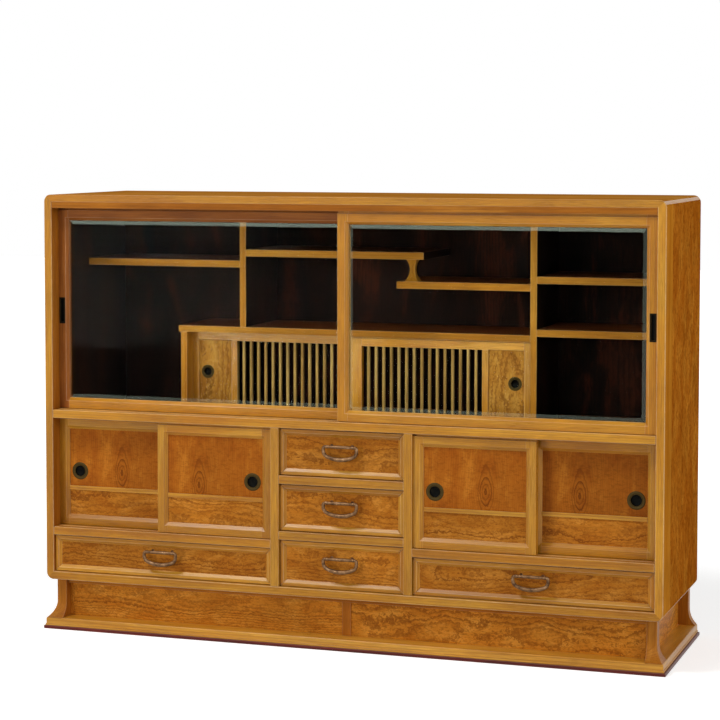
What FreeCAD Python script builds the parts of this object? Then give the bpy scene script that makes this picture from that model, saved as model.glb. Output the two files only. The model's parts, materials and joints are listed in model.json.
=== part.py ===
import FreeCAD, Part
import math
import os

os.makedirs("parts", exist_ok=True)

V = FreeCAD.Vector

# Whole cabinet. X runs to the right, Y to the back, Z up from the floor.
# Depths are measured from the carcase's front plane.
case_width = 1500.0
case_depth = 440.0
plinth_height = 121.0
board = 20.0
top_board = 17.0
corner_radius = 17.0

# Back panels, let into a rebate in the carcase boards
back_thickness = 6.0
back_inset = 4.0
back_rebate = 8.0

# Sliding door tracks: two grooves above and two below
track_depth = 62.0
door_setback = 8.0
track_pitch = 29.0
tongue_width = 8.0
groove_play = 0.5
sill_groove = 3.0
head_groove = 9.0
running_gap = 0.3
sill_gap = 1.0
head_gap = 5.5
tongue_reach = 4.0
end_gap = 0.3

# Storeys inside the carcase: wide drawers, lower doors, glass doors
wide_drawer_opening = 89.0
lower_door_opening = 263.0
glass_door_opening = 485.0
head_rail = 15.0
middle_rail = 20.0
floor_board = 12.0
floor_drop = 15.0
centre_bay = 304.0
drawer_rail = 20.0
drawer_rail_count = 2

# Open shelves: how far their tops lie under the top board or one another
shelf_setback = 210.0
shelf = 17.0
divider = 16.0
left_divider_x = -320.5
right_divider_x = 402.8
left_shelf_drop = 144.5
high_shelf_drop = 117.5
high_shelf_end = 136.5
low_shelf_end = 70.0
right_shelf_drop = 168.5
right_shelf_spacing = 123.3

# Waisted post between the staggered shelves
post_x = 105.7
post_height = 52.2
post_foot = 34.0
post_neck = 27.0
post_waist = 13.0

# Small cupboard with lattice doors
cupboard_left = -483.5
cupboard_opening = 193.0
cupboard_top_board = 16.0
cupboard_overhang = 6.0
cupboard_head_groove = 5.5
cupboard_head_gap = 3.0
cupboard_tongue_reach = 1.5

# Glass doors
glass_door_overlap = 20.0
glass_door_thickness = 22.0
glass_stile = 25.0
glass_bevel = 7.0
glass_thickness = 5.0
glass_recess = 9.0

# Lower cupboard doors
lower_door_overlap = 18.0
lower_door_thickness = 22.0
lower_stile = 24.0
lower_bevel = 8.0
lower_bevel_depth = 6.0
panel_thickness = 6.0
panel_recess = 7.5
batten_rise = 84.0
batten_height = 10.0
batten_stand = 3.0

# Lattice doors
lattice_door_overlap = 15.0
lattice_door_thickness = 16.0
lattice_outer_stile = 16.0
lattice_inner_stile = 24.0
lattice_mid_stile = 16.0
lattice_rail = 19.0
lattice_panel_width = 85.0
lattice_panel_recess = 4.0
lattice_bevel = 2.0
lattice_bar = 6.0
lattice_bar_depth = 8.0
lattice_bar_recess = 3.0
lattice_bar_count = 15

# Fit of glass and panels in their frame grooves
panel_tongue = 6.0
panel_play = 0.3

# Round pulls: a flanged metal cup let into the panel, just over mid height
lower_pull_radius = 21.0
lower_pull_from_edge = 50.0
lower_pull_rise = 1.75
lattice_pull_radius = 16.5
lattice_pull_from_edge = 38.0
lattice_pull_drop = 2.3
pull_cup_share = 0.66
pull_lip = 1.6
pull_wall = 1.2
pull_depth = 8.0

# Upright pulls in the glass doors' outer stiles
bar_pull_width = 15.0
bar_pull_height = 63.0
bar_pull_drop = 3.25
bar_pull_flange = 2.0
bar_pull_lip = 1.0
bar_pull_wall = 1.2
bar_pull_depth = 8.0

# Drawers
drawer_setback = 8.0
drawer_front = 18.0
drawer_border = 15.0
drawer_bevel = 7.0
drawer_panel_recess = 5.0
drawer_side_gap = 1.2
drawer_top_gap = 2.5
drawer_bottom_gap = 1.5
drawer_side = 9.0
drawer_bottom = 5.0
drawer_length = 385.0
drawer_side_drop = 12.0

# Drop handles
handle_bar_length = 70.0
handle_bar_radius = 3.8
handle_post_spacing = 50.0
handle_post_radius = 3.0
handle_rosette_radius = 4.5
handle_rosette = 1.5
handle_standoff = 16.0
handle_rise = 2.75
bail_drop = 34.5
bail_end_gap = 0.5
bail_end_radius = 3.5
bail_middle_radius = 5.0
bail_elbow_radius = 5.0
bail_side = 4.0
bail_corner_radius = 15.0
bail_pin_radius = 1.5
bail_pin_length = 7.0
bail_pin_play = 0.05

# Plinth
sole_height = 8.0
sole_side_overhang = 7.0
sole_front_overhang = 3.0
sole_width = 66.0
moulding_height = 19.0
moulding_side_overhang = 3.0
moulding_front_overhang = 1.0
moulding_width = 62.0
foot_side_inset = 17.0
foot_front_inset = 24.0
foot_size = 24.0
foot_side_flare = 17.0
foot_front_flare = 24.0
foot_flare_height = 39.0
plinth_panel = 8.0
plinth_rail = 13.0
plinth_rail_thickness = 14.0
muntin_width = 21.0
muntin_stand = 3.0

# How far the drop handles stand out of the front plane, which centres the
# whole cabinet over its origin
handle_reach = handle_standoff + bail_middle_radius - drawer_setback - drawer_panel_recess
centring = V(0, -(case_depth - handle_reach) / 2, 0)

# Faces and levels that several pieces share
side_in = case_width / 2 - board
back_face = case_depth - back_inset - back_thickness
bottom_top = plinth_height + board
deck_under = bottom_top + wide_drawer_opening
deck_top = deck_under + board
middle_rail_under = deck_top + lower_door_opening
middle_rail_top = middle_rail_under + middle_rail
floor_top = middle_rail_top - floor_drop
floor_under = floor_top - floor_board
head_rail_under = middle_rail_top + glass_door_opening
top_under = head_rail_under + head_rail
cabinet_height = top_under + top_board
bay_in = centre_bay / 2
bay_out = bay_in + board
moulding_top = sole_height + moulding_height
cupboard_board_under = floor_top + cupboard_opening
cupboard_top = cupboard_board_under + cupboard_top_board
cupboard_inside = cupboard_left + divider
high_shelf_top = top_under - high_shelf_drop
low_shelf_top = high_shelf_top - shelf - post_height
right_shelf_top = top_under - right_shelf_drop
right_divider_left = right_divider_x - divider / 2


def block(x0, x1, y0, y1, z0, z1):
    return Part.makeBox(x1 - x0, y1 - y0, z1 - z0, V(x0, y0, z0))


def outline_face(points):
    """A flat face from an outline of points and three-point arcs."""
    edges = []
    for start, end in zip(points, points[1:] + points[:1]):
        if len(end) == 2:
            edges.append(Part.Arc(start[-1], end[0], end[1]).toShape())
        elif (end[-1] - start[-1]).Length > 0:
            edges.append(Part.makeLine(start[-1], end[-1]))
    return Part.Face(Part.Wire(edges))


def extrude(points, along):
    return outline_face(points).extrude(along)


def cut_all(solid, tools):
    for tool in tools:
        solid = solid.cut(tool)
    return solid.Solids[0] if len(solid.Solids) == 1 else solid


def save(node, solids):
    shape = Part.makeCompound(solids) if len(solids) > 1 else solids[0].copy()
    shape.translate(centring)
    shape.exportStep("parts/%s.step" % node)
    print("%-28s %2d solids  %10.0f mm3" % (node, len(shape.Solids), shape.Volume))


# Carcase boards: a rounded ring, mitred at its four corners
def case_ring():
    half = case_width / 2
    ring = block(-half, half, 0, case_depth, plinth_height, cabinet_height)
    along_y = [e for e in ring.Edges if abs(e.tangentAt(e.FirstParameter).y) > 0.5]
    ring = ring.makeFillet(corner_radius, along_y)
    hollow = block(-side_in, side_in, 0, case_depth, bottom_top, top_under)
    rebate = block(-side_in - back_rebate, side_in + back_rebate, back_face, case_depth,
                   bottom_top - back_rebate, top_under + back_rebate)
    return cut_all(ring, [hollow, rebate])


def mitred_board(outline):
    points = [[V(x, 0, z)] for x, z in outline]
    return case_ring().common(extrude(points, V(0, case_depth, 0))).Solids[0]


def case_boards():
    half = case_width / 2
    top = [(-half, cabinet_height), (half, cabinet_height),
           (side_in, top_under), (-side_in, top_under)]
    bottom = [(-half, plinth_height), (half, plinth_height),
              (side_in, bottom_top), (-side_in, bottom_top)]
    sides = []
    for s in (-1, 1):
        sides.append(mitred_board([(s * half, plinth_height), (s * half, cabinet_height),
                                   (s * side_in, top_under), (s * side_in, bottom_top)]))
    save("case_sides", sides)
    save("case_top", [mitred_board(top)])
    save("case_bottom", [mitred_board(bottom)])


def back_panels():
    x = side_in + back_rebate
    split = (floor_top + floor_under) / 2
    y = back_face + back_thickness
    save("back_panels", [
        block(-x, x, back_face, y, bottom_top - back_rebate, split),
        block(-x, x, back_face, y, split, top_under + back_rebate)])


# Tracks: face is the outer face of the door in front, zero is the front plane
def groove(x0, x1, face, thickness, z0, z1):
    half = tongue_width / 2 + groove_play
    middle = face + thickness / 2
    return block(x0, x1, middle - half, middle + half, z0, z1)


def track_faces(front):
    return (front + door_setback, front + door_setback + track_pitch)


def head_rail_piece():
    rail = block(-side_in, side_in, 0, track_depth, head_rail_under, top_under)
    cuts = [groove(-side_in, side_in, face, glass_door_thickness,
                   head_rail_under, head_rail_under + head_groove) for face in track_faces(0)]
    save("upper_head_rail", [cut_all(rail, cuts)])


def middle_deck():
    """The rail between the two storeys, and the floor board behind it."""
    rail = block(-side_in, side_in, 0, track_depth, middle_rail_under, middle_rail_top)
    cuts = []
    for face in track_faces(0):
        cuts.append(groove(-side_in, side_in, face, glass_door_thickness,
                           middle_rail_top - sill_groove, middle_rail_top))
        for x0, x1 in ((-side_in, -bay_out), (bay_out, side_in)):
            cuts.append(groove(x0, x1, face, lower_door_thickness,
                               middle_rail_under, middle_rail_under + head_groove))
    floor = block(-side_in, side_in, track_depth, back_face, floor_under, floor_top)
    foot_grooves = [groove(cupboard_inside, right_divider_left, face, lattice_door_thickness,
                           floor_top - sill_groove, floor_top)
                    for face in track_faces(shelf_setback)]
    save("middle_deck", [cut_all(rail, cuts), cut_all(floor, foot_grooves)])


def lower_partitions():
    """Uprights beside the centre drawers, stepped under the middle rail."""
    outline = [(0, bottom_top), (0, middle_rail_under), (track_depth, middle_rail_under),
               (track_depth, floor_under), (back_face, floor_under), (back_face, bottom_top)]
    pieces = []
    for x in (-bay_out, bay_in):
        points = [[V(x, y, z)] for y, z in outline]
        pieces.append(extrude(points, V(board, 0, 0)))
    save("lower_partitions", pieces)


centre_opening = ((middle_rail_under - bottom_top - drawer_rail_count * drawer_rail)
                  / (drawer_rail_count + 1))
centre_levels = [bottom_top + n * (centre_opening + drawer_rail)
                 for n in range(drawer_rail_count + 1)]


def lower_boards():
    """Decks with the lower doors' sill grooves, and boards under two drawers."""
    boards = []
    for x0, x1 in ((-side_in, -bay_out), (bay_out, side_in)):
        deck = block(x0, x1, 0, back_face, deck_under, deck_top)
        cuts = [groove(x0, x1, face, lower_door_thickness, deck_top - sill_groove, deck_top)
                for face in track_faces(0)]
        boards.append(cut_all(deck, cuts))
    for z in centre_levels[1:]:
        boards.append(block(-bay_in, bay_in, 0, back_face, z - drawer_rail, z))
    save("lower_boards", boards)


# Dividers, shelves and the small cupboard's case
def upright(x, z0, z1):
    return block(x - divider / 2, x + divider / 2, shelf_setback, back_face, z0, z1)


def shelf_board(x0, x1, top):
    return block(x0, x1, shelf_setback, back_face, top - shelf, top)


def shelves():
    save("upper_dividers", [upright(left_divider_x, cupboard_top, top_under),
                            upright(right_divider_x, floor_top, top_under)])
    half = divider / 2
    save("upper_shelves", [
        shelf_board(-side_in, left_divider_x - half, top_under - left_shelf_drop),
        shelf_board(left_divider_x + half, high_shelf_end, high_shelf_top),
        shelf_board(low_shelf_end, right_divider_left, low_shelf_top),
        shelf_board(right_divider_x + half, side_in, right_shelf_top),
        shelf_board(right_divider_x + half, side_in, right_shelf_top - right_shelf_spacing)])


def waist_outline(z0, z1):
    """Half outline of the post from its foot, by its waist, to its neck."""
    neck, foot, waist = post_neck / 2, post_foot / 2, post_waist / 2
    middle = (z0 + z1) / 2
    return [(foot, z0), (waist, middle), (neck, z1)]


def shelf_post():
    z0, z1 = low_shelf_top, high_shelf_top - shelf
    (foot, _), (waist, middle), (neck, _) = waist_outline(z0, z1)
    front = [[V(post_x + foot, 0, z0)], [V(post_x + waist, 0, middle), V(post_x + neck, 0, z1)],
             [V(post_x - neck, 0, z1)], [V(post_x - waist, 0, middle), V(post_x - foot, 0, z0)]]
    y = shelf_setback + foot
    side = [[V(0, y + foot, z0)], [V(0, y + waist, middle), V(0, y + neck, z1)],
            [V(0, y - neck, z1)], [V(0, y - waist, middle), V(0, y - foot, z0)]]
    across = extrude(front, V(0, back_face, 0))
    along = extrude(side, V(case_width, 0, 0))
    save("shelf_post", [across.common(along).Solids[0]])


def small_cupboard():
    top = block(cupboard_left - cupboard_overhang, right_divider_left,
                shelf_setback, back_face, cupboard_board_under, cupboard_top)
    side = block(cupboard_left, cupboard_inside, shelf_setback, back_face,
                 floor_top, cupboard_board_under)
    cuts = [groove(cupboard_inside, right_divider_left, face, lattice_door_thickness,
                   cupboard_board_under, cupboard_board_under + cupboard_head_groove)
            for face in track_faces(shelf_setback)]
    save("small_cupboard_case", [cut_all(top, cuts), side])


# Door parts
def bevel_cut(x0, x1, z0, z1, face, width, depth):
    """Frustum that bevels the edge of an opening, down to its clear size."""
    return Part.makeWedge(x0 - width, face, z0 - width, z0, x0,
                          x1 + width, face + depth, z1 + width, z1, x1)


def tongued(x0, x1, z0, z1, door, below, above):
    """A frame member with a running tongue at its foot or head."""
    member = block(x0, x1, door.face, door.face + door.thickness, z0, z1)
    y0 = door.face + (door.thickness - tongue_width) / 2
    y1 = y0 + tongue_width
    if below:
        reach = sill_gap + sill_groove - running_gap
        member = member.fuse(block(x0, x1, y0, y1, z0 - reach, z0))
    if above:
        member = member.fuse(block(x0, x1, y0, y1, z1, z1 + door.head_gap + door.reach))
    return member.removeSplitter().Solids[0]


class Door:
    """A sliding door in one bay: its body's box, without the tongues."""

    def __init__(self, name, x0, x1, floor, head, overlap, on_left, in_front, front,
                 thickness, gap=head_gap, reach=tongue_reach):
        self.name = name
        self.width = (x1 - x0 + overlap) / 2 - end_gap
        self.on_left = on_left
        self.x0 = x0 + end_gap if on_left else x1 - end_gap - self.width
        self.x1 = self.x0 + self.width
        self.z0 = floor + sill_gap
        self.z1 = head - gap
        self.middle = (self.z0 + self.z1) / 2
        self.face = min(track_faces(front)) if in_front else max(track_faces(front))
        self.thickness = thickness
        self.head_gap = gap
        self.reach = reach

    def outer(self, distance):
        """The X at a distance in from the door's outer edge."""
        return self.x0 + distance if self.on_left else self.x1 - distance

    def span(self, near, far):
        """An X range between two distances from the door's outer edge."""
        return sorted((self.outer(near), self.outer(far)))


def panel_slot(x0, x1, z0, z1, door, recess, thickness):
    """The groove round an opening that holds a pane or a panel."""
    y = door.face + recess
    r = panel_tongue + panel_play
    return block(x0 - r, x1 + r, y - panel_play, y + thickness + panel_play, z0 - r, z1 + r)


def panel_sheet(x0, x1, z0, z1, door, recess, thickness):
    y = door.face + recess
    r = panel_tongue
    return block(x0 - r, x1 + r, y, y + thickness, z0 - r, z1 + r)


def round_pull(x, z, face, radius):
    """A shallow cup with a rounded rim, let into a panel from its face."""
    cup = radius * pull_cup_share
    inner = cup - pull_wall
    back = face + pull_depth
    points = [
        [V(0, back, 0)], [V(cup, back, 0)], [V(cup, face, 0)], [V(radius, face, 0)],
        [V((radius + inner) / 2, face - pull_lip, 0), V(inner, face, 0)],
        [V(inner, back - pull_wall, 0)], [V(0, back - pull_wall, 0)]]
    turned = outline_face(points).revolve(V(0, 0, 0), V(0, 1, 0), 360)
    turned.translate(V(x, 0, z))
    return turned.Solids[0]


def pull_hole(x, z, face, radius, depth):
    cup = radius * pull_cup_share + panel_play
    return Part.makeCylinder(cup, depth, V(x, face, z), V(0, 1, 0))


def glass_door(door):
    opening = (door.x0 + glass_stile, door.x1 - glass_stile,
               door.z0 + glass_stile, door.z1 - glass_stile)
    bevel = bevel_cut(*opening, door.face, glass_bevel, glass_bevel)
    slot = panel_slot(*opening, door, glass_recess, glass_thickness)
    x0, x1, z0, z1 = opening
    level = door.middle - bar_pull_drop
    half_w, half_h = bar_pull_width / 2 - bar_pull_flange, bar_pull_height / 2 - bar_pull_flange
    middle = door.outer((glass_stile - glass_bevel) / 2)
    play = panel_play
    pocket = block(middle - half_w - play, middle + half_w + play, door.face,
                   door.face + bar_pull_depth + play, level - half_h - play,
                   level + half_h + play)
    stiles = [tongued(a, b, door.z0, door.z1, door, True, True)
              for a, b in ((door.x0, x0), (x1, door.x1))]
    rails = [tongued(x0, x1, door.z0, z0, door, True, False),
             tongued(x0, x1, z1, door.z1, door, False, True)]
    frame = [cut_all(member, [bevel, slot, pocket]) for member in stiles]
    frame += [cut_all(member, [bevel, slot]) for member in rails]
    save(door.name + "_frame", frame)
    save(door.name + "_pane", [panel_sheet(*opening, door, glass_recess, glass_thickness)])
    cup = block(middle - half_w, middle + half_w, door.face, door.face + bar_pull_depth,
                level - half_h, level + half_h)
    flange = block(middle - bar_pull_width / 2, middle + bar_pull_width / 2,
                   door.face - bar_pull_lip, door.face,
                   level - bar_pull_height / 2, level + bar_pull_height / 2)
    wall = bar_pull_wall
    hollow = block(middle - half_w + wall, middle + half_w - wall, door.face - bar_pull_lip,
                   door.face + bar_pull_depth - wall, level - half_h + wall,
                   level + half_h - wall)
    save(door.name + "_pull", [cup.fuse(flange).removeSplitter().cut(hollow).Solids[0]])


def lower_door(door):
    opening = (door.x0 + lower_stile, door.x1 - lower_stile,
               door.z0 + lower_stile, door.z1 - lower_stile)
    bevel = bevel_cut(*opening, door.face, lower_bevel, lower_bevel_depth)
    slot = panel_slot(*opening, door, panel_recess, panel_thickness)
    x0, x1, z0, z1 = opening
    frame = [tongued(a, b, door.z0, door.z1, door, True, True)
             for a, b in ((door.x0, x0), (x1, door.x1))]
    frame += [tongued(x0, x1, door.z0, z0, door, True, False),
              tongued(x0, x1, z1, door.z1, door, False, True)]
    frame = [cut_all(member, [bevel, slot]) for member in frame]
    low = door.z0 + batten_rise
    high = low + batten_height
    batten = block(x0, x1, door.face + panel_recess - batten_stand,
                   door.face + door.thickness, low, high)
    depth = batten_height / 2 - panel_play
    y = door.face + panel_recess
    half_slot = depth / 2
    for z in (low, high):
        batten = batten.cut(block(x0, x1, y - panel_play, y + panel_thickness + panel_play,
                                  z - half_slot, z + half_slot))
    save(door.name + "_frame", frame + [batten.Solids[0]])
    upper = panel_sheet(x0, x1, z0, z1, door, panel_recess, panel_thickness)
    tuck = half_slot - panel_play
    lower = upper.common(block(door.x0, door.x1, door.face, door.face + door.thickness,
                               door.z0, low + tuck))
    upper = upper.common(block(door.x0, door.x1, door.face, door.face + door.thickness,
                               high - tuck, door.z1))
    x, level = door.outer(lower_pull_from_edge), door.middle + lower_pull_rise
    upper = upper.cut(pull_hole(x, level, y, lower_pull_radius, panel_thickness))
    save(door.name + "_panels", [upper.Solids[0], lower.Solids[0]])
    save(door.name + "_pull", [round_pull(x, level, y, lower_pull_radius)])


def lattice_door(door):
    """A solid panel beside the pull, and upright bars over the rest."""
    z0, z1 = door.z0 + lattice_rail, door.z1 - lattice_rail
    panel_end = lattice_outer_stile + lattice_panel_width
    mid_end = panel_end + lattice_mid_stile
    inner = door.width - lattice_inner_stile
    panel_x = door.span(lattice_outer_stile, panel_end)
    lattice_x = door.span(mid_end, inner)
    bevel = bevel_cut(*panel_x, z0, z1, door.face, lattice_bevel, lattice_bevel)
    slot = panel_slot(*panel_x, z0, z1, door, lattice_panel_recess, panel_thickness)
    tall = [tongued(*door.span(a, b), door.z0, door.z1, door, True, True)
            for a, b in ((0, lattice_outer_stile), (inner, door.width))]
    rail_x = door.span(lattice_outer_stile, inner)
    rails = [tongued(*rail_x, door.z0, z0, door, True, False),
             tongued(*rail_x, z1, door.z1, door, False, True)]
    mid_x = door.span(panel_end, mid_end)
    mid = block(*mid_x, door.face, door.face + door.thickness, z0, z1)
    frame = [cut_all(member, [bevel, slot]) for member in tall + rails + [mid]]
    pitch = (lattice_x[1] - lattice_x[0] + lattice_bar) / (lattice_bar_count + 1)
    y = door.face + lattice_bar_recess
    for n in range(lattice_bar_count):
        x = lattice_x[0] + (n + 1) * pitch - lattice_bar
        frame.append(block(x, x + lattice_bar, y, y + lattice_bar_depth, z0, z1))
    save(door.name + "_frame", frame)
    panel = panel_sheet(*panel_x, z0, z1, door, lattice_panel_recess, panel_thickness)
    x, level = door.outer(lattice_pull_from_edge), door.middle - lattice_pull_drop
    face = door.face + lattice_panel_recess
    panel = panel.cut(pull_hole(x, level, face, lattice_pull_radius, panel_thickness))
    save(door.name + "_panel", [panel.Solids[0]])
    save(door.name + "_pull", [round_pull(x, level, face, lattice_pull_radius)])


glass_doors = [
    Door(name, -side_in, side_in, middle_rail_top, head_rail_under, glass_door_overlap,
         on_left, in_front, 0, glass_door_thickness)
    for name, on_left, in_front in (("glass_door_left", True, False),
                                    ("glass_door_right", False, True))]
lower_doors = [
    Door(name, x0, x1, deck_top, middle_rail_under, lower_door_overlap,
         on_left, in_front, 0, lower_door_thickness)
    for name, x0, x1, on_left, in_front in (
        ("lower_door_1", -side_in, -bay_out, True, False),
        ("lower_door_2", -side_in, -bay_out, False, True),
        ("lower_door_3", bay_out, side_in, True, True),
        ("lower_door_4", bay_out, side_in, False, False))]
lattice_doors = [
    Door(name, cupboard_inside, right_divider_left, floor_top, cupboard_board_under,
         lattice_door_overlap, on_left, in_front, shelf_setback, lattice_door_thickness,
         cupboard_head_gap, cupboard_tongue_reach)
    for name, on_left, in_front in (("lattice_door_left", True, False),
                                    ("lattice_door_right", False, True))]


# Drawers
class Drawer:
    def __init__(self, name, x0, x1, z0, z1):
        self.name = name
        self.x0, self.x1 = x0 + drawer_side_gap, x1 - drawer_side_gap
        self.z0, self.z1 = z0 + drawer_bottom_gap, z1 - drawer_top_gap
        self.floor = z0 + running_gap
        self.x = (x0 + x1) / 2
        self.pivot_y = drawer_setback + drawer_panel_recess - handle_standoff
        self.pivot_z = (self.z0 + self.z1 + bail_drop - handle_bar_radius) / 2 + handle_rise


drawers = [Drawer("drawer_left", -side_in, -bay_out, bottom_top, deck_under)]
for number, level in enumerate(reversed(centre_levels), 1):
    drawers.append(Drawer("drawer_centre_%d" % number, -bay_in, bay_in,
                          level, level + centre_opening))
drawers.append(Drawer("drawer_right", bay_out, side_in, bottom_top, deck_under))


def drawer_pieces(drawer):
    x0, x1, z0, z1 = drawer.x0, drawer.x1, drawer.z0, drawer.z1
    face, back = drawer_setback, drawer_setback + drawer_front
    front = block(x0, x1, face, back, z0, z1)
    inset = (x0 + drawer_border, x1 - drawer_border, z0 + drawer_border, z1 - drawer_border)
    front = front.cut(bevel_cut(*inset, face, drawer_bevel, drawer_panel_recess))
    save(drawer.name + "_front", [front.Solids[0]])
    end = back + drawer_length
    floor = drawer.floor + drawer_bottom
    top = z1 - drawer_side_drop
    save(drawer.name + "_box", [
        block(x0, x1, back, end, drawer.floor, floor),
        block(x0, x0 + drawer_side, back, end, floor, top),
        block(x1 - drawer_side, x1, back, end, floor, top),
        block(x0 + drawer_side, x1 - drawer_side, end - drawer_side, end, floor, top)])


def handle_mount(drawer):
    """A slim bar on two posts; its ends are bored for the bail's pins."""
    x, y, z = drawer.x, drawer.pivot_y, drawer.pivot_z
    panel = drawer_setback + drawer_panel_recess
    half = handle_bar_length / 2
    mount = Part.makeCylinder(handle_bar_radius, handle_bar_length, V(x - half, y, z),
                              V(1, 0, 0))
    for s in (-1, 1):
        px = x + s * handle_post_spacing / 2
        mount = mount.fuse(Part.makeCylinder(handle_post_radius, panel - y, V(px, y, z),
                                             V(0, 1, 0)))
        mount = mount.fuse(Part.makeCylinder(handle_rosette_radius, handle_rosette,
                                             V(px, panel - handle_rosette, z), V(0, 1, 0)))
        bore = Part.makeCylinder(bail_pin_radius + bail_pin_play, bail_pin_length,
                                 V(x + s * half, y, z), V(-s, 0, 0))
        mount = mount.cut(bore)
    save(drawer.name + "_handle", [mount.Solids[0]])


def bail(drawer):
    """A D-shaped bail, stoutest in the middle, with an elbow and a pin at each end."""
    x, y, z = drawer.x, drawer.pivot_y, drawer.pivot_z
    end = handle_bar_length / 2 + bail_end_gap
    across = end + bail_elbow_radius
    side = bail_elbow_radius + bail_side
    inner = across - bail_corner_radius
    drop = bail_drop - bail_middle_radius
    fall = drop - bail_corner_radius
    rise = (inner ** 2 + side ** 2 - fall ** 2) / (2 * (fall - side))
    turn = math.atan2(inner, side + rise)
    meet = math.pi / 2 - turn

    def place(out, down, s):
        return V(x + s * out, y, z - down)

    def on_elbow(angle, s):
        r = bail_elbow_radius
        return place(end + r * math.sin(angle), r - r * math.cos(angle), s)

    def on_corner(angle, s):
        r = bail_corner_radius
        return place(inner + r * math.cos(angle), side + r * math.sin(angle), s)

    def on_bow(angle, s):
        r = drop + rise
        return place(r * math.sin(angle), r * math.cos(angle) - rise, s)

    solids = []
    for s in (-1, 1):
        start, knee, lowest = on_elbow(0, s), on_elbow(math.pi / 2, s), on_bow(0, s)
        path = Part.Wire([
            Part.Arc(start, on_elbow(math.pi / 4, s), knee).toShape(),
            Part.makeLine(knee, on_corner(0, s)),
            Part.Arc(on_corner(0, s), on_corner(meet / 2, s), on_corner(meet, s)).toShape(),
            Part.Arc(on_bow(turn, s), on_bow(turn / 2, s), lowest).toShape()])
        sections = [
            Part.Wire([Part.makeCircle(bail_end_radius, start, V(1, 0, 0))]),
            Part.Wire([Part.makeCircle(bail_middle_radius, lowest, V(1, 0, 0))])]
        solids.append(path.makePipeShell(sections, True, False))
        root = place(end + bail_pin_radius, 0, s)
        pin = bail_pin_radius + bail_end_gap + bail_pin_length - running_gap
        solids.append(Part.makeCylinder(bail_pin_radius, pin, root, V(-s, 0, 0)))
    solid = solids[0]
    for other in solids[1:]:
        solid = solid.fuse(other)
    save(drawer.name + "_bail", [solid.Solids[0]])


# Plinth
def mitred_frame(side, front, back, width, z0, z1):
    """Four bars of a flat frame: outer edges given, mitred at the corners."""
    outer = [V(-side, front, z0), V(side, front, z0), V(side, back, z0), V(-side, back, z0)]
    inner = [V(-side + width, front + width, z0), V(side - width, front + width, z0),
             V(side - width, back - width, z0), V(-side + width, back - width, z0)]
    bars = []
    for n in range(4):
        m = (n + 1) % 4
        bars.append(extrude([[outer[n]], [outer[m]], [inner[m]], [inner[n]]],
                            V(0, 0, z1 - z0)))
    return bars


def flared(face, flare, foot_back, axis, along):
    """A post's profile, straight above and curving out at its base."""
    base, top = moulding_top, plinth_height
    turn = (flare ** 2 + foot_flare_height ** 2) / (2 * abs(flare))
    half_angle = math.asin(foot_flare_height / turn) / 2
    bend = turn * (1 - math.cos(half_angle)) * math.copysign(1, flare)
    fall = turn * math.sin(half_angle)
    knee = base + foot_flare_height

    def at(out, z):
        return axis * out + V(0, 0, z)

    return extrude([[at(foot_back, base)], [at(foot_back, top)], [at(face, top)],
                    [at(face, knee)],
                    [at(face + bend, knee - fall), at(face + flare, base)]], along)


def foot(s, at_front):
    """A square corner post whose outward faces flare to the moulding."""
    x = s * (case_width / 2 - foot_side_inset)
    across = flared(x, s * foot_side_flare, x - s * foot_size, V(1, 0, 0),
                    V(0, case_depth, 0))
    if at_front:
        y = foot_front_inset
        along = flared(y, -foot_front_flare, y + foot_size, V(0, 1, 0),
                       V(s * case_width, 0, 0))
    else:
        along = block(*sorted((0, s * case_width)), case_depth - foot_size, case_depth,
                      moulding_top, plinth_height)
    return across.common(along).Solids[0]


def plinth():
    half = case_width / 2
    save("plinth_sole", mitred_frame(half + sole_side_overhang, -sole_front_overhang,
                                     case_depth, sole_width, 0, sole_height))
    save("plinth_moulding", mitred_frame(half + moulding_side_overhang,
                                         -moulding_front_overhang, case_depth,
                                         moulding_width, sole_height, moulding_top))
    base, top = moulding_top, plinth_height
    under_rail = top - plinth_rail
    x = half - foot_side_inset - foot_size
    y0, y1 = foot_front_inset + foot_size, case_depth - foot_size
    inner = x - plinth_panel
    m = muntin_width / 2
    panels = [block(-inner, -m, y0, y0 + plinth_panel, base, top),
              block(m, inner, y0, y0 + plinth_panel, base, top),
              block(-inner, inner, y1 - plinth_panel, y1, base, top)]
    muntin = block(-m, m, y0 - muntin_stand, y0 + plinth_panel, base, under_rail)
    muntin = muntin.fuse(block(-m, m, y0, y0 + plinth_panel, under_rail, top))
    rails = [block(-x, x, y0 - plinth_rail_thickness, y0, under_rail, top),
             block(-x, x, y1, y1 + plinth_rail_thickness, under_rail, top)]
    for s in (-1, 1):
        panels.append(block(*sorted((s * x, s * inner)), y0, y1, base, top))
        out = sorted((s * x, s * (x + plinth_rail_thickness)))
        rails.append(block(*out, y0, y1, under_rail, top))
    save("plinth_panels", panels)
    feet = [foot(s, at_front) for s in (-1, 1) for at_front in (True, False)]
    save("plinth_frame", feet + rails + [muntin.removeSplitter().Solids[0]])


case_boards()
back_panels()
head_rail_piece()
middle_deck()
lower_partitions()
lower_boards()
shelves()
shelf_post()
small_cupboard()
for door in glass_doors:
    glass_door(door)
for door in lower_doors:
    lower_door(door)
for door in lattice_doors:
    lattice_door(door)
for drawer in drawers:
    drawer_pieces(drawer)
    handle_mount(drawer)
    bail(drawer)
plinth()
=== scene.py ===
import json
import math
import random

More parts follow.
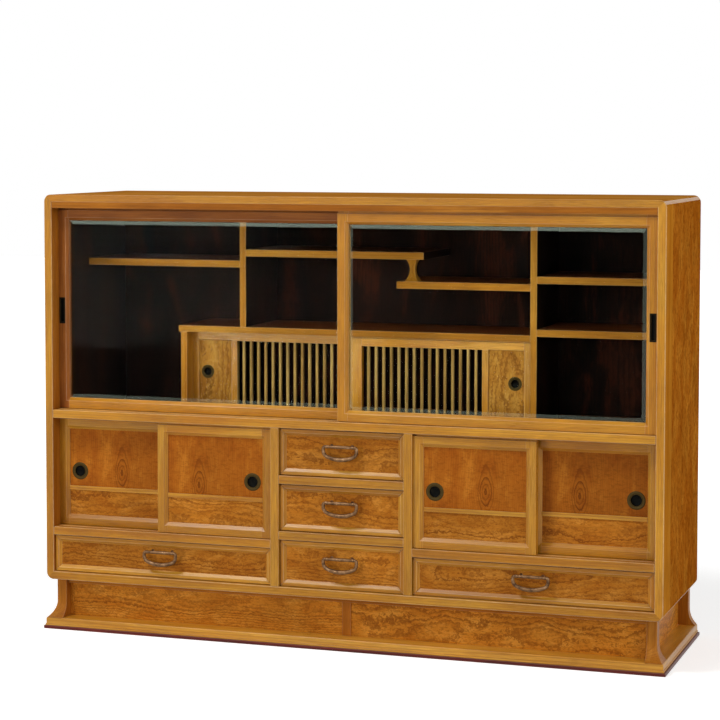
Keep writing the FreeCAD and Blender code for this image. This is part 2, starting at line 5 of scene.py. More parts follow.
import bmesh
import bpy
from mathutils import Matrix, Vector


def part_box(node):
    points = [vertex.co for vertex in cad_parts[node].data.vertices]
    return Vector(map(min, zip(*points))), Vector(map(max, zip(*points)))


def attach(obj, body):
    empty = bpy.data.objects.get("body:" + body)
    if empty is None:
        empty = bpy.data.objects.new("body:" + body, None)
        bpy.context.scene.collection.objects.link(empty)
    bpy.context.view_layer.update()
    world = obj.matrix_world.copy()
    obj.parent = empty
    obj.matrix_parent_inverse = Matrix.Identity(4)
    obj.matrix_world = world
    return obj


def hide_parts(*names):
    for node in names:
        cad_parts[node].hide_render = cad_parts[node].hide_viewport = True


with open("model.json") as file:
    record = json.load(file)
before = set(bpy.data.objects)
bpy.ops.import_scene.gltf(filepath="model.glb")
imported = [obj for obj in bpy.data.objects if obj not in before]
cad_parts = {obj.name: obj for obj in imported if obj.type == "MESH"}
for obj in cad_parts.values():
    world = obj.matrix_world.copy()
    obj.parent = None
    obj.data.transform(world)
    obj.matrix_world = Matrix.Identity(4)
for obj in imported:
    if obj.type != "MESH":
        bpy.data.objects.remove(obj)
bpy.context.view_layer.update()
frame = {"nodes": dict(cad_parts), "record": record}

scene = bpy.context.scene
scene.view_settings.view_transform = "Standard"
print("frame loaded")


# shader helpers

def fromSrgb(red, green, blue):
    # colours are written as they look on screen, 0 to 255
    linear = []
    for value in (red, green, blue):
        share = value / 255
        linear.append(share / 12.92 if share <= 0.04045 else ((share + 0.055) / 1.055) ** 2.4)
    return (*linear, 1.0)


def addNode(tree, kind, inputs=None, **settings):
    node = tree.nodes.new(kind)
    for name, value in settings.items():
        setattr(node, name, value)
    for name, value in (inputs or {}).items():
        if isinstance(value, bpy.types.NodeSocket):
            tree.links.new(value, node.inputs[name])
        else:
            node.inputs[name].default_value = value
    return node


def calc(tree, operation, first, second=0.0, third=0.0):
    node = addNode(tree, "ShaderNodeMath", operation=operation)
    for slotIndex, value in enumerate((first, second, third)):
        if isinstance(value, bpy.types.NodeSocket):
            tree.links.new(value, node.inputs[slotIndex])
        else:
            node.inputs[slotIndex].default_value = value
    return node.outputs[0]


def ramp(tree, factor, stops, interpolation="EASE"):
    node = addNode(tree, "ShaderNodeValToRGB", {"Fac": factor})
    node.color_ramp.interpolation = interpolation
    while len(node.color_ramp.elements) < len(stops):
        node.color_ramp.elements.new(1.0)
    for element, (position, colour) in zip(node.color_ramp.elements, stops):
        element.position = position
        element.color = colour if isinstance(colour, tuple) else (colour, colour, colour, 1.0)
    return node.outputs["Color"]


def mixColour(tree, factor, first, second, blend="MIX"):
    node = addNode(tree, "ShaderNodeMix", data_type="RGBA", blend_type=blend)
    for socket, value in ((node.inputs[0], factor), (node.inputs[6], first), (node.inputs[7], second)):
        if isinstance(value, bpy.types.NodeSocket):
            tree.links.new(value, socket)
        else:
            socket.default_value = value
    return node.outputs[2]


def newGroup(name, inputs, outputs):
    group = bpy.data.node_groups.new(name, "ShaderNodeTree")
    for direction, sockets in (("INPUT", inputs), ("OUTPUT", outputs)):
        for socketName, kind in sockets.items():
            default = None
            if isinstance(kind, tuple):
                kind, default = kind
            socket = group.interface.new_socket(socketName, in_out=direction,
                                                socket_type="NodeSocket" + kind)
            if default is not None:
                socket.default_value = default
    return group, group.nodes.new("NodeGroupInput"), group.nodes.new("NodeGroupOutput")


def useGroup(tree, group, inputs):
    return addNode(tree, "ShaderNodeGroup", inputs, node_tree=group).outputs


# shader groups that all the woods share

growth = {
    "eyeLength": 0.50, "eyeSpan": 1400.0, "eyeNear": 0.010, "eyeFar": 0.026, "eyeFade": -0.8,
    "ringStart": 0.92, "ringPeak": 0.90, "ringStop": 0.94, "ringVary": 0.6, "ringLeast": 0.4,
    "strands": (28.0, 620.0, 620.0), "mottle": 2.3, "fleckFrom": 0.46, "fleckTo": 0.68}
# the paler arris colour is wear and also painted highlight along the edges
wearAndEdgeHighlight = {"patch": 7.0, "broken": 60.0, "rubbed": (1.0, 0.86, 0.62, 1.0), "oiled": 0.90, "dry": 1.06,
            "gloss": 0.18}


def makeFigureGroup():
    # annual rings of a sawn board: grain.x runs along the fibres, y across the face, z through it
    group, given, result = newGroup(
        "timberFigure",
        {"Grain": "Vector", "Ring": ("Float", 0.004), "Warp": ("Float", 0.01), "Feature": ("Float", 9.0),
         "Curl": ("Float", 0.002), "Curl Feature": ("Float", 60.0), "Stretch": ("Float", 4.0),
         "Line": ("Float", 0.3), "Ripple": ("Vector", (100.0, 100.0, 100.0)), "Eye": ("Float", 0.0)},
        {"Rings": "Float", "Fibre": "Float", "Mottle": "Float", "Fleck": "Float"})
    give = given.outputs
    split = addNode(group, "ShaderNodeSeparateXYZ", {"Vector": give["Grain"]}).outputs
    along = calc(group, "DIVIDE", split["X"], give["Stretch"])
    squeezed = addNode(group, "ShaderNodeCombineXYZ",
                       {"X": along, "Y": split["Y"], "Z": split["Z"]}).outputs[0]
    broad = addNode(group, "ShaderNodeTexNoise",
                    {"Vector": squeezed, "Scale": give["Feature"], "Detail": 2.0,
                     "Roughness": 0.5}).outputs["Fac"]
    curl = addNode(group, "ShaderNodeTexNoise",
                   {"Vector": give["Grain"], "Scale": give["Curl Feature"], "Detail": 3.0,
                    "Roughness": 0.55, "Distortion": 0.5}).outputs["Fac"]
    # near an eye the rings close into long ovals, further off they straighten out
    lengthwise = calc(group, "MULTIPLY", split["X"], growth["eyeLength"])
    lengthwise = calc(group, "MULTIPLY", lengthwise, lengthwise)
    falloff = calc(group, "MULTIPLY_ADD", lengthwise, growth["eyeSpan"], 1.0)
    lengthwise = calc(group, "MULTIPLY", calc(group, "DIVIDE", lengthwise, falloff), give["Eye"])
    across = calc(group, "MULTIPLY", split["Y"], split["Y"])
    through = calc(group, "MULTIPLY", split["Z"], split["Z"])
    radius = calc(group, "SQRT", calc(group, "ADD", calc(group, "ADD", across, through), lengthwise))
    shift = calc(group, "MULTIPLY", calc(group, "SUBTRACT", broad, 0.5), give["Warp"])
    wiggle = calc(group, "MULTIPLY", calc(group, "SUBTRACT", curl, 0.5), give["Curl"])
    distance = calc(group, "ADD", calc(group, "ADD", radius, shift), wiggle)
    turns = calc(group, "DIVIDE", distance, give["Ring"])
    phase = calc(group, "FRACT", turns)
    # each ring grows darker outwards and then stops short, and no two are alike
    start = calc(group, "SUBTRACT", growth["ringStart"], give["Line"])
    grown = addNode(group, "ShaderNodeMapRange",
                    {"Value": phase, "From Min": start, "From Max": growth["ringPeak"]},
                    interpolation_type="SMOOTHSTEP")
    ended = addNode(group, "ShaderNodeMapRange",
                    {"Value": phase, "From Min": 1.0, "From Max": growth["ringStop"]},
                    interpolation_type="LINEAR")
    one = addNode(group, "ShaderNodeTexWhiteNoise", {"W": calc(group, "FLOOR", turns)},
                  noise_dimensions="1D")
    strength = calc(group, "MULTIPLY_ADD", one.outputs["Value"], growth["ringVary"], growth["ringLeast"])
    line = calc(group, "MULTIPLY", grown.outputs["Result"], ended.outputs["Result"])
    # away from an eye its rings are lost in the ripple
    near = addNode(group, "ShaderNodeMapRange",
                   {"Value": radius, "From Min": growth["eyeNear"], "From Max": growth["eyeFar"]})
    lost = calc(group, "MULTIPLY", near.outputs["Result"], give["Eye"])
    fade = calc(group, "MULTIPLY_ADD", lost, growth["eyeFade"], 1.0)
    rings = calc(group, "MULTIPLY", calc(group, "MULTIPLY", line, strength), fade)
    strands = addNode(group, "ShaderNodeVectorMath", {0: give["Grain"], 1: growth["strands"]},
                      operation="MULTIPLY").outputs[0]
    fibre = addNode(group, "ShaderNodeTexNoise",
                    {"Vector": strands, "Scale": 1.0, "Detail": 3.0, "Roughness": 0.65}).outputs["Fac"]
    mottleScale = calc(group, "MULTIPLY", give["Feature"], growth["mottle"])
    mottle = addNode(group, "ShaderNodeTexNoise",
                     {"Vector": squeezed, "Scale": mottleScale, "Detail": 4.0, "Roughness": 0.6,
                      "Distortion": 0.8}).outputs["Fac"]
    # short strokes that lie across the fibres, as light falls on curly wood
    rippled = addNode(group, "ShaderNodeVectorMath", {0: give["Grain"], 1: give["Ripple"]},
                      operation="MULTIPLY").outputs[0]
    fleckNoise = addNode(group, "ShaderNodeTexNoise",
                         {"Vector": rippled, "Scale": 1.0, "Detail": 2.0, "Roughness": 0.5,
                          "Distortion": 1.1}).outputs["Fac"]
    fleck = addNode(group, "ShaderNodeMapRange",
                    {"Value": fleckNoise, "From Min": growth["fleckFrom"], "From Max": growth["fleckTo"]},
                    interpolation_type="SMOOTHSTEP").outputs["Result"]
    for name, socket in (("Rings", rings), ("Fibre", fibre), ("Mottle", mottle), ("Fleck", fleck)):
        group.links.new(socket, result.inputs[name])
    return group


def makeWearAndHighlightGroup():
    # arrises are rubbed paler, which also serves as painted highlight along the edges, and oil darkens the
    # wood in broad soft patches
    group, given, result = newGroup(
        "wearAndEdgeHighlight", {"Colour": "Color", "Arris": "Float", "Grain": "Vector", "Rub And Highlight": ("Float", 0.3)},
        {"Colour": "Color", "Gloss": "Float"})
    give = given.outputs
    patch = addNode(group, "ShaderNodeTexNoise",
                    {"Vector": give["Grain"], "Scale": wearAndEdgeHighlight["patch"], "Detail": 3.0}).outputs["Fac"]
    broken = addNode(group, "ShaderNodeTexNoise",
                     {"Vector": give["Grain"], "Scale": wearAndEdgeHighlight["broken"], "Detail": 2.0}).outputs["Fac"]
    rubAndHighlight = calc(group, "MULTIPLY", calc(group, "MULTIPLY", give["Arris"], broken), give["Rub And Highlight"])
    paler = mixColour(group, rubAndHighlight, give["Colour"], wearAndEdgeHighlight["rubbed"])
    dirt = ramp(group, patch, [(0.3, wearAndEdgeHighlight["oiled"]), (0.7, wearAndEdgeHighlight["dry"])])
    group.links.new(mixColour(group, 1.0, paler, dirt, "MULTIPLY"), result.inputs["Colour"])
    gloss = calc(group, "MULTIPLY_ADD", patch, wearAndEdgeHighlight["gloss"], -wearAndEdgeHighlight["gloss"] / 2)
    group.links.new(gloss, result.inputs["Gloss"])
    return group


figureGroup = makeFigureGroup()
wearAndHighlightGroup = makeWearAndHighlightGroup()


# materials

def newMaterial(name):
    material = bpy.data.materials.new(name)
    material.use_nodes = True
    tree = material.node_tree
    tree.nodes.clear()
    output = tree.nodes.new("ShaderNodeOutputMaterial")
    return material, tree, output


sawn = {"shades": (0.36, 0.5, 0.64), "tones": (0.88, 1.12), "fibreRough": 0.16, "ringDepth": -0.35,
        "fibreDepth": 0.65, "bump": 0.5, "coatRough": 0.07}


def woodMaterial(name, look):
    material, tree, output = newMaterial(name)
    grain = addNode(tree, "ShaderNodeAttribute", attribute_name="grain").outputs["Vector"]
    tone = addNode(tree, "ShaderNodeAttribute", attribute_name="tone").outputs["Fac"]
    arris = addNode(tree, "ShaderNodeAttribute", attribute_name="arris").outputs["Fac"]
    figure = useGroup(tree, figureGroup, {
        "Grain": grain, "Ring": look["ring"], "Warp": look["warp"], "Feature": look["feature"],
        "Curl": look["curl"], "Curl Feature": look["curlFeature"], "Stretch": look["stretch"],
        "Line": look["lineShare"], "Ripple": look["ripple"], "Eye": look["eye"]})
    tints = ("warm", "body", "pale", "line", "fleck")
    warm, body, pale, line, fleck = [fromSrgb(*look[tint]) for tint in tints]
    base = ramp(tree, figure["Mottle"], list(zip(sawn["shades"], (warm, body, pale))))
    ringed = mixColour(tree, calc(tree, "MULTIPLY", figure["Rings"], look["ringShare"]), base, line)
    flecked = mixColour(tree, calc(tree, "MULTIPLY", figure["Fleck"], look["fleckShare"]), ringed, fleck)
    streak = ramp(tree, figure["Fibre"], [(0.3, 1.0 - look["fibre"]), (0.7, 1.0 + look["fibre"])])
    streaked = mixColour(tree, 1.0, flecked, streak, "MULTIPLY")
    boardTone = ramp(tree, tone, [(0.0, sawn["tones"][0]), (1.0, sawn["tones"][1])], "LINEAR")
    toned = mixColour(tree, 1.0, streaked, boardTone, "MULTIPLY")
    wornAndHighlit = useGroup(tree, wearAndHighlightGroup, {"Colour": toned, "Arris": arris, "Grain": grain, "Rub And Highlight": look["rubAndHighlight"]})
    fibreRough = sawn["fibreRough"]
    rough = calc(tree, "MULTIPLY_ADD", figure["Fibre"], fibreRough, look["rough"] - fibreRough / 2)
    rough = calc(tree, "ADD", rough, wornAndHighlit["Gloss"])
    strands = calc(tree, "MULTIPLY", figure["Fibre"], sawn["fibreDepth"])
    height = calc(tree, "MULTIPLY_ADD", figure["Rings"], sawn["ringDepth"], strands)
    bump = addNode(tree, "ShaderNodeBump",
                   {"Height": height, "Strength": sawn["bump"], "Distance": look["relief"]})
    shader = addNode(tree, "ShaderNodeBsdfPrincipled", {
        "Base Color": wornAndHighlit["Colour"], "Roughness": rough, "Normal": bump.outputs[0],
        "Coat Weight": look["coat"], "Coat Roughness": sawn["coatRough"],
        "Specular IOR Level": look["sheen"]})
    tree.links.new(shader.outputs[0], output.inputs["Surface"])
    return material


cast = {"cloud": 90.0, "pits": 900.0, "pitRough": 0.3, "pitDepth": 0.0004, "bump": 0.35}


def metalMaterial(name, look):
    material, tree, output = newMaterial(name)
    place = addNode(tree, "ShaderNodeTexCoord").outputs["Object"]
    arris = addNode(tree, "ShaderNodeAttribute", attribute_name="arris").outputs["Fac"]
    cloud = addNode(tree, "ShaderNodeTexNoise",
                    {"Vector": place, "Scale": cast["cloud"], "Detail": 5.0, "Roughness": 0.6})
    pits = addNode(tree, "ShaderNodeTexNoise",
                   {"Vector": place, "Scale": cast["pits"], "Detail": 3.0, "Roughness": 0.6})
    deep, body, rubbed, edge = [fromSrgb(*look[tint]) for tint in ("deep", "body", "rubbed", "edge")]
    colour = ramp(tree, cloud.outputs["Fac"], [(0.3, deep), (0.55, body), (0.75, rubbed)])
    colour = mixColour(tree, calc(tree, "MULTIPLY", arris, look["edgeShare"]), colour, edge)
    pitRough = cast["pitRough"]
    rough = calc(tree, "MULTIPLY_ADD", pits.outputs["Fac"], pitRough, look["rough"] - pitRough / 2)
    bump = addNode(tree, "ShaderNodeBump",
                   {"Height": pits.outputs["Fac"], "Strength": cast["bump"], "Distance": cast["pitDepth"]})
    shader = addNode(tree, "ShaderNodeBsdfPrincipled", {
        "Base Color": colour, "Roughness": rough, "Metallic": look["metal"], "Normal": bump.outputs[0],
        "Specular IOR Level": look["sheen"]})
    tree.links.new(shader.outputs[0], output.inputs["Surface"])
    return material


smears = {"scale": 5.0, "clear": 0.45, "smeared": 0.8, "bend": 1.5}


def glassMaterial(name, look):
    material, tree, output = newMaterial(name)
    place = addNode(tree, "ShaderNodeTexCoord").outputs["Object"]
    smear = addNode(tree, "ShaderNodeTexNoise",
                    {"Vector": place, "Scale": smears["scale"], "Detail": 4.0, "Roughness": 0.7})
    smeared = ramp(tree, smear.outputs["Fac"], [(smears["clear"], 0.0), (smears["smeared"], 1.0)])
    rough = calc(tree, "MULTIPLY", smeared, look["smear"])
    shader = addNode(tree, "ShaderNodeBsdfPrincipled", {
        "Base Color": look["tint"], "Roughness": rough, "Metallic": 0.0,
        "Specular Tint": look["sheen"], "Transmission Weight": 1.0, "IOR": smears["bend"]})
    through = addNode(tree, "ShaderNodeBsdfTransparent", {"Color": look["shade"]})
    # shadows behind a pane are those of thin clear glass
    shadowRay = addNode(tree, "ShaderNodeLightPath").outputs["Is Shadow Ray"]
    mixed = addNode(tree, "ShaderNodeMixShader",
                    {0: shadowRay, 1: shader.outputs[0], 2: through.outputs[0]})
    tree.links.new(mixed.outputs[0], output.inputs["Surface"])
    return material


# straight grain of rails and frames, and curly grain of the figured panels
frameGrain = {
    "ring": 0.0034, "warp": 0.012, "feature": 7.0, "curl": 0.0006, "curlFeature": 40.0, "stretch": 10.0,
    "lineShare": 0.45, "ripple": (12.0, 160.0, 160.0), "eye": 0.0, "ringShare": 0.5, "fleckShare": 0.25,
    "fibre": 0.12, "relief": 0.0003, "coat": 0.0}
burlGrain = {
    "ring": 0.0030, "warp": 0.022, "feature": 11.0, "curl": 0.0046, "curlFeature": 120.0, "stretch": 2.2,
    "lineShare": 0.5, "ripple": (110.0, 240.0, 240.0), "eye": 0.0, "ringShare": 0.85, "fleckShare": 0.5,
    "fibre": 0.10, "relief": 0.0003, "coat": 0.0}
# each wood has three tones of its own, the colour of its ring lines and that of its flecks
woodLooks = {
    "frameWood": {
        **frameGrain, "warm": (172, 110, 16), "body": (182, 123, 24), "pale": (194, 138, 38),
        "line": (142, 82, 10), "fleck": (142, 82, 10), "rubAndHighlight": 0.3, "rough": 0.30, "sheen": 0.28},
    # paler than the frames, as painted light on the moulding's lit ledge and face
    "mouldingWood": {
        **frameGrain, "warm": (203, 137, 38), "body": (214, 151, 50), "pale": (226, 167, 66),
        "line": (160, 98, 20), "fleck": (160, 98, 20), "rubAndHighlight": 0.3, "rough": 0.32, "sheen": 0.3},
    # darker and redder than the frames, as painted shade on the head rail, the jambs and the feet
    "railWood": {
        **frameGrain, "warm": (156, 90, 20), "body": (167, 101, 27), "pale": (180, 116, 38),
        "line": (128, 70, 14), "fleck": (128, 70, 14), "rubAndHighlight": 0.16, "rough": 0.4, "sheen": 0.1},
    "shelfEdge": {
        **frameGrain, "warm": (154, 98, 22), "body": (166, 110, 29), "pale": (178, 124, 40),
        "line": (126, 74, 12), "fleck": (126, 74, 12), "rubAndHighlight": 0.2, "rough": 0.42, "sheen": 0.06},
    # a darker, redder wood: painted shade on the rear glass door, and the plain outer face of the back
    "redWoodAndPaintedShade": {
        **frameGrain, "warm": (138, 74, 22), "body": (150, 86, 28), "pale": (166, 100, 38),
        "line": (104, 50, 14), "fleck": (104, 50, 14), "rubAndHighlight": 0.3, "rough": 0.42, "sheen": 0.15},
    "bandWood": {
        **frameGrain, "warm": (176, 108, 26), "body": (186, 118, 32), "pale": (196, 130, 42),
        "line": (144, 78, 14), "fleck": (144, 78, 14), "rubAndHighlight": 0.1, "rough": 0.6, "sheen": 0.0},
    "topWood": {
        **frameGrain, "warm": (178, 112, 36), "body": (190, 126, 46), "pale": (200, 140, 60),
        "line": (150, 88, 24), "fleck": (150, 88, 24), "rubAndHighlight": 0.14, "rough": 0.6, "sheen": 0.0},
    "barWood": {
        **frameGrain, "warm": (148, 112, 52), "body": (162, 128, 66), "pale": (178, 146, 84),
        "line": (126, 90, 38), "fleck": (126, 90, 38), "rubAndHighlight": 0.1, "rough": 0.5, "sheen": 0.12},
    "burlWood": {
        **burlGrain, "warm": (166, 98, 25), "body": (177, 110, 32), "pale": (190, 124, 44),
        "line": (112, 56, 10), "fleck": (118, 60, 10), "rubAndHighlight": 0.1, "rough": 0.42, "sheen": 0.06},
    # paler than the door panels, as painted light against the shade under the case
    "plinthWood": {
        **burlGrain, "warm": (196, 120, 32), "body": (206, 132, 40), "pale": (218, 148, 54),
        "line": (126, 66, 14), "fleck": (130, 70, 14), "rubAndHighlight": 0.1, "rough": 0.42, "sheen": 0.06},
    "latticeBurl": {
        **burlGrain, "warm": (152, 98, 30), "body": (166, 114, 40), "pale": (182, 132, 56),
        "line": (108, 62, 14), "fleck": (108, 62, 14), "rubAndHighlight": 0.1, "rough": 0.42, "sheen": 0.06},
    "eyeWood": {
        "warm": (148, 78, 16), "body": (160, 90, 21), "pale": (176, 106, 30),
        "line": (86, 36, 5), "fleck": (112, 54, 8), "ring": 0.0050, "warp": 0.010,
        "feature": 9.0, "curl": 0.0042, "curlFeature": 85.0, "stretch": 2.4, "lineShare": 0.55,
        "ripple": (190.0, 75.0, 75.0), "eye": 1.0, "ringShare": 1.0, "fleckShare": 0.4, "fibre": 0.07,
        "rubAndHighlight": 0.1, "rough": 0.42, "relief": 0.0003, "coat": 0.0, "sheen": 0.06},
    "sideWood": {
        "warm": (164, 90, 18), "body": (176, 103, 25), "pale": (188, 118, 34),
        "line": (120, 58, 8), "fleck": (116, 54, 7), "ring": 0.0046, "warp": 0.04,
        "feature": 9.0, "curl": 0.010, "curlFeature": 80.0, "stretch": 2.2, "lineShare": 0.5,
        "ripple": (70.0, 110.0, 110.0), "eye": 0.0, "ringShare": 0.45, "fleckShare": 0.6, "fibre": 0.07,
        "rubAndHighlight": 0.1, "rough": 0.6, "relief": 0.0003, "coat": 0.0, "sheen": 0.0},
    # dark stain, deepened as painted shade on the faces inside the carcase
    "innerStainAndPaintedShade": {
        "warm": (24, 11, 6), "body": (34, 16, 8), "pale": (50, 24, 12),
        "line": (18, 8, 4), "fleck": (16, 7, 4), "ring": 0.006, "warp": 0.05,
        "feature": 6.0, "curl": 0.008, "curlFeature": 40.0, "stretch": 4.0, "lineShare": 0.5,
        "ripple": (30.0, 120.0, 120.0), "eye": 0.0, "ringShare": 0.5, "fleckShare": 0.4, "fibre": 0.10,
        "rubAndHighlight": 0.1, "rough": 0.45, "relief": 0.0001, "coat": 0.3, "sheen": 0.1},
    # brown tops inside, darkened as painted shade
    "shelfWood": {
        **frameGrain, "warm": (112, 54, 18), "body": (130, 66, 22), "pale": (146, 80, 30),
        "line": (84, 36, 10), "fleck": (84, 36, 10), "rubAndHighlight": 0.1, "rough": 0.4, "sheen": 0.2},
    # near-black stain, deepened as painted shade on the inner face of the back
    "backWood": {
        "warm": (22, 10, 5), "body": (34, 15, 7), "pale": (62, 27, 12),
        "line": (16, 7, 4), "fleck": (14, 6, 3), "ring": 0.007, "warp": 0.05,
        "feature": 5.0, "curl": 0.009, "curlFeature": 34.0, "stretch": 3.0, "lineShare": 0.5,
        "ripple": (30.0, 100.0, 100.0), "eye": 0.0, "ringShare": 0.6, "fleckShare": 0.4, "fibre": 0.10,
        "rubAndHighlight": 0.0, "rough": 0.55, "relief": 0.0002, "coat": 0.0, "sheen": 0.05},
    "boxWood": {
        **frameGrain, "warm": (196, 160, 112), "body": (208, 176, 128), "pale": (218, 190, 146),
        "line": (176, 138, 92), "fleck": (170, 130, 86), "ring": 0.006, "fleckShare": 0.15,
        "fibre": 0.07, "rubAndHighlight": 0.1, "rough": 0.62, "sheen": 0.2},
    "soleWood": {
        **frameGrain, "warm": (80, 24, 18), "body": (98, 32, 24), "pale": (120, 44, 32),
        "line": (62, 18, 14), "fleck": (54, 16, 12), "rubAndHighlight": 0.1, "rough": 0.4, "sheen": 0.2},
}
metalLooks = {
    # near-black iron, dark enough to stand as painted shade in the round pulls' cups
    "pullIron": {"deep": (6, 6, 5), "body": (12, 12, 10), "rubbed": (30, 27, 18),
                 "edge": (78, 62, 30), "edgeShare": 0.8, "rough": 0.5, "metal": 0.4, "sheen": 0.06},
    "handleBronze": {"deep": (62, 42, 26), "body": (116, 86, 58), "rubbed": (172, 140, 108),
                     "edge": (172, 140, 108), "edgeShare": 0.5, "rough": 0.42, "metal": 0.85,
                     "sheen": 0.5},
}
glassLooks = {
    "paneGlass": {"tint": (0.93, 0.965, 0.94, 1.0), "shade": (0.80, 0.83, 0.80, 1.0),
                  "sheen": (0.0, 0.0, 0.0, 1.0), "smear": 0.0},
    "bevelGlass": {"tint": (0.80, 0.88, 0.82, 1.0), "shade": (0.80, 0.83, 0.80, 1.0),
                   "sheen": (0.85, 1.0, 0.80, 1.0), "smear": 0.12},
}
materials = {name: woodMaterial(name, look) for name, look in woodLooks.items()}
materials.update({name: metalMaterial(name, look) for name, look in metalLooks.items()})
materials.update({name: glassMaterial(name, look) for name, look in glassLooks.items()})
print("materials made")


# mesh helpers

touching = 1e-6
flatAngle = 0.5
sawing = {"along": 9.0, "away": (0.25, 0.9), "through": (0.12, 0.3), "eyeDepth": 0.004, "figured": 0.03}


def box(bm, low, high):
    middle = [(a + b) / 2 for a, b in zip(low, high)]
    size = [b - a for a, b in zip(low, high)]
    made = bmesh.ops.create_cube(bm, size=1.0)
    bmesh.ops.scale(bm, vec=size, verts=made["verts"])
    bmesh.ops.translate(bm, vec=middle, verts=made["verts"])
    return made["verts"]


def saw(bm, point, normal):
    # cuts off what lies on the normal's side and closes the cut
    everything = bm.verts[:] + bm.edges[:] + bm.faces[:]
    cut = bmesh.ops.bisect_plane(bm, geom=everything, dist=touching, plane_co=point, plane_no=normal,
                                 clear_outer=True)
    rim = [item for item in cut["geom_cut"] if isinstance(item, bmesh.types.BMEdge)]
    bmesh.ops.edgeloop_fill(bm, edges=rim)


def score(bm, point, normal):
    # splits faces along a plane, so that each side can have its own finish
    everything = bm.verts[:] + bm.edges[:] + bm.faces[:]
    bmesh.ops.bisect_plane(bm, geom=everything, dist=touching, plane_co=point, plane_no=normal)


def timberLayers(bm):
    bm.verts.layers.float_vector.new("grain")
    bm.verts.layers.float.new("tone")
    bm.faces.layers.float.new("arris")


def easeArrises(bm, width, segments=2, steep=25.0, joint=None):
    # takes the sharpness off every outward corner and marks the narrow faces made there
    if width <= 0:
        return
    corners = []
    for edge in bm.edges:
        if len(edge.link_faces) != 2 or not edge.is_convex or edge.calc_face_angle(0) < math.radians(steep):
            continue
        if joint and any(joint(face) for face in edge.link_faces):
            continue
        corners.append(edge)
    made = bmesh.ops.bevel(bm, geom=corners, offset=width, offset_type="OFFSET", segments=segments,
                           profile=0.5, affect="EDGES", clamp_overlap=True, material=-1)
    arrisLayer = bm.faces.layers.float["arris"]
    for face in made["faces"]:
        if face.is_valid:
            face[arrisLayer] = 1.0


def findSolids(bm):
    # the separate boards of a mesh, from left to right, then front to back, then bottom to top
    solids, seen = [], set()
    for start in bm.faces:
        if start in seen:
            continue
        seen.add(start)
        board, queue = [], [start]
        while queue:
            face = queue.pop()
            board.append(face)
            for edge in face.edges:
                for other in edge.link_faces:
                    if other not in seen:
                        seen.add(other)
                        queue.append(other)
        solids.append(board)

    def corner(board):
        spots = [vert.co for face in board for vert in face.verts]
        return tuple(round(min(spot[axis] for spot in spots), 4) for axis in range(3))

    return sorted(solids, key=corner)


def markTimber(bm, seed, along=None, pith=None, pithShift=None):
    # gives every board its own grain direction, place in the log and tone
    draw = random.Random(seed)
    grainLayer = bm.verts.layers.float_vector["grain"]
    toneLayer = bm.verts.layers.float["tone"]
    for index, board in enumerate(findSolids(bm)):
        verts = {vert for face in board for vert in face.verts}
        low = [min(vert.co[axis] for vert in verts) for axis in range(3)]
        high = [max(vert.co[axis] for vert in verts) for axis in range(3)]
        size = [b - a for a, b in zip(low, high)]
        order = sorted(range(3), key=lambda axis: -size[axis])
        if along:
            chosen = along[index] if isinstance(along, (list, tuple)) else along
            first = "XYZ".index(chosen)
            order = [first] + [axis for axis in order if axis != first]
        if pith and pith[index]:
            centre = [pith[index][axis] for axis in order]
            shift = [0.0, 0.0, sawing["eyeDepth"]]
        else:
            centre = [(low[axis] + high[axis]) / 2 for axis in order]
            away = pithShift if pithShift is not None else draw.uniform(*sawing["away"])
            shift = [draw.uniform(-sawing["along"], sawing["along"]), away * draw.choice((-1, 1)),
                     draw.uniform(*sawing["through"])]
        tone = draw.uniform(0.0, 1.0)
        for vert in verts:
            place = [vert.co[axis] for axis in order]
            vert[grainLayer] = [place[n] - centre[n] + shift[n] for n in range(3)]
            vert[toneLayer] = tone


def finishMesh(name, bm, body, finishes, smooth=None):
    mesh = bpy.data.meshes.new(name)
    bm.normal_update()
    bm.to_mesh(mesh)
    bm.free()
    for finish in finishes:
        mesh.materials.append(materials[finish])
    piece = bpy.data.objects.new(name, mesh)
    scene.collection.objects.link(piece)
    if smooth is not None:
        mesh.shade_smooth()
        mesh.set_sharp_from_angle(angle=math.radians(smooth))
    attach(piece, body)
    return piece


def bodyOf(node):
    for body, members in frame["record"]["behaviour"]["bodies"].items():
        if node in members:
            return body


def putInPlace(node, ending, bm, finishes, smooth=None):
    # the finished mesh rides on its node's body and stands in for the node
    piece = finishMesh(node + ending, bm, bodyOf(node), finishes, smooth)
    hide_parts(node)


def seedOf(name):
    return sum((place + 7) * ord(letter) for place, letter in enumerate(name))


def listBoards(bm):
    # the faces come board by board, and a board is complete once every edge has met its twin
    boards, board, loose = [], [], set()
    for face in bm.faces:
        board.append(face)
        spots = [tuple(round(value * 1e6) for value in vert.co) for vert in face.verts]
        for start, end in zip(spots, spots[1:] + spots[:1]):
            if (end, start) in loose:
                loose.remove((end, start))
            else:
                loose.add((start, end))
        if not loose:
            boards.append(board)
            board = []
    return boards + [board] if board else boards


def copyNode(node):
    # a copy of a node's mesh, each board merged by itself and its flat faces made whole again
    bm = bmesh.new()
    timberLayers(bm)
    bm.from_mesh(frame["nodes"][node].data)
    boards = [dict.fromkeys(vert for face in board for vert in face.verts) for board in listBoards(bm)]
    for corners in boards:
        bmesh.ops.remove_doubles(bm, verts=list(corners), dist=touching)
    bmesh.ops.dissolve_limit(bm, angle_limit=math.radians(flatAngle), verts=bm.verts, edges=bm.edges)
    return bm


